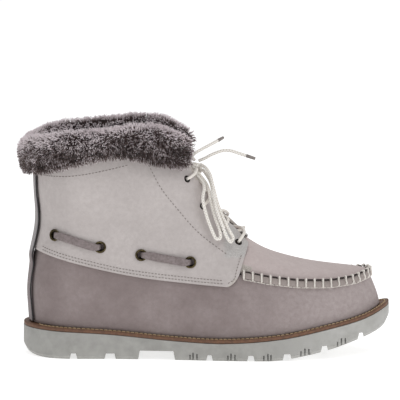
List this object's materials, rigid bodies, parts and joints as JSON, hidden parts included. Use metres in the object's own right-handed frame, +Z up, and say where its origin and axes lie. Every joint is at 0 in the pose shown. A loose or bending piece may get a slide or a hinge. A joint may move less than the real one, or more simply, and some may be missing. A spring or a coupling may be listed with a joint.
{
  "type": "deck boot",
  "caption": "Moc-toe lace-up deck boot: suede upper on a welted lugged sole, fleece lining and turned collar, side lace through eyelets; the tongue folds back.",
  "frame": {"origin": "middle of the boot on the ground, under its box without the free lace loops and ends", "axes": "+X to the toe, +Y to the inner side of the foot (right boot), +Z up"},
  "size_m": [0.2864, 0.106, 0.1815],
  "materials": {
    "sole_rubber": "matt off-white moulded rubber",
    "welt_leather": "smooth tan leather with an inked edge",
    "fibre_board": "pressed fibre board",
    "shank_steel": "plain spring steel strip",
    "fleece": "dense curly fleece",
    "taupe_suede": "fine suede nap",
    "grey_suede": "fine suede nap",
    "band_suede": "fine suede nap, gathered edge",
    "backstay_suede": "fine suede nap with dark piped edges",
    "stiffener": "moulded stiffener sheet",
    "collar_fleece": "long pile, dark at the root with pale tips",
    "thong_leather": "flat oiled leather thong",
    "lace_cotton": "round braided cotton",
    "aglet_plastic": "clear brown film",
    "antique_brass": "antiqued brass",
    "dark_brass": "blackened brass"
  },
  "bodies": {
    "boot": {"outsole": "sole_rubber", "welt": "welt_leather", "insole_board": "fibre_board", "shank": "shank_steel", "footbed": "fleece", "vamp": "taupe_suede", "moc_plug": "grey_suede", "moc_seam_band": "band_suede", "quarter_lateral": "grey_suede", "quarter_medial": "grey_suede", "backstay": "backstay_suede", "heel_counter": "stiffener", "toe_puff": "stiffener", "shaft_lining": "fleece", "vamp_lining": "fleece", "fur_collar": "collar_fleece", "deck_lace": "thong_leather", "lacing": "lace_cotton", "lace_knot": "lace_cotton", "lace_loop_1": "lace_cotton", "lace_loop_2": "lace_cotton", "lace_end_1": "lace_cotton", "lace_end_2": "lace_cotton", "aglet_1": "aglet_plastic", "aglet_2": "aglet_plastic", "deck_eyelet_lateral_1": "antique_brass", "lace_eyelet_lateral_1": "dark_brass", "deck_eyelet_lateral_2": "antique_brass", "lace_eyelet_lateral_2": "dark_brass", "deck_eyelet_lateral_3": "antique_brass", "lace_eyelet_lateral_3": "dark_brass", "deck_eyelet_lateral_4": "antique_brass", "lace_eyelet_lateral_4": "dark_brass", "deck_eyelet_medial_1": "antique_brass", "lace_eyelet_medial_1": "dark_brass", "deck_eyelet_medial_2": "antique_brass", "lace_eyelet_medial_2": "dark_brass", "deck_eyelet_medial_3": "antique_brass", "lace_eyelet_medial_3": "dark_brass", "deck_eyelet_medial_4": "antique_brass", "lace_eyelet_medial_4": "dark_brass"},
    "tongue": {"tongue": "grey_suede"}
  },
  "joints": [
    {"name": "tongue_fold", "type": "hinge", "parent": "boot", "child": "tongue", "pos_m": [0.039, -0.0018, 0.0812], "axis": [0, -1, 0], "range_deg": [0, 12]}
  ]
}
